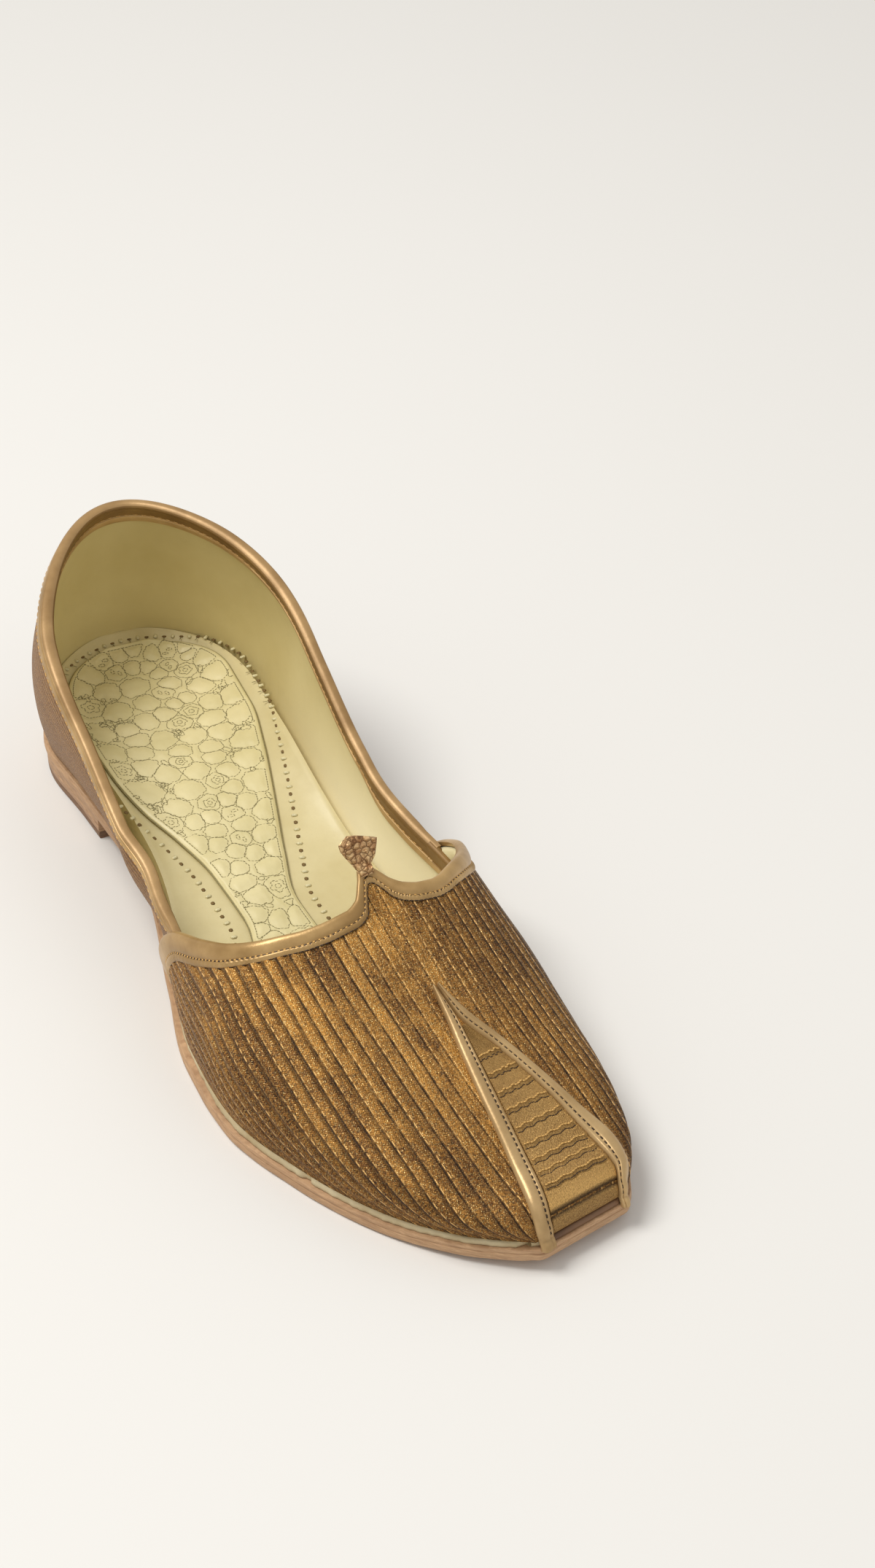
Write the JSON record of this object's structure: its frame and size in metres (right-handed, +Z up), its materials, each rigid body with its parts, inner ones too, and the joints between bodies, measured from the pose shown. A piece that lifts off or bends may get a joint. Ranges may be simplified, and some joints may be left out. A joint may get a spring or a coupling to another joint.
{
  "type": "mojari shoe",
  "caption": "Low slip-on mojari shoe for the right foot with a hollow ribbed cloth upper, squared toe, bound throat and collar, quilted insole and low stacked heel.",
  "frame": {"origin": "centre of the footprint's bounding box, on the floor the shoe stands on", "axes": "+Y to the toe, +X to the outer side of the right foot, +Z up"},
  "size_m": [0.0892, 0.2606, 0.07],
  "materials": {
    "ribbed_brocade": "ribbed metallic cloth",
    "sole_leather": "natural cut edge",
    "heel_leather": "worn",
    "rand_leather": "matt",
    "lining_leather": "smooth satin",
    "quilted_pad": "quilted satin",
    "binding_leather": "metallic satin",
    "finial_leather": "pebbled metallic",
    "panel_cloth": "metallic cloth",
    "strap_leather": "metallic satin"
  },
  "bodies": {
    "root": {"upper": "ribbed_brocade", "outsole": "sole_leather", "heel_lift": "sole_leather", "heel_top_piece": "heel_leather", "rand": "rand_leather", "insole": "lining_leather", "insole_pad": "quilted_pad", "collar_binding": "binding_leather", "throat_binding": "binding_leather", "throat_finial": "finial_leather", "toe_panel": "panel_cloth", "toe_strap_lateral": "strap_leather", "toe_strap_medial": "strap_leather"}
  },
  "joints": []
}
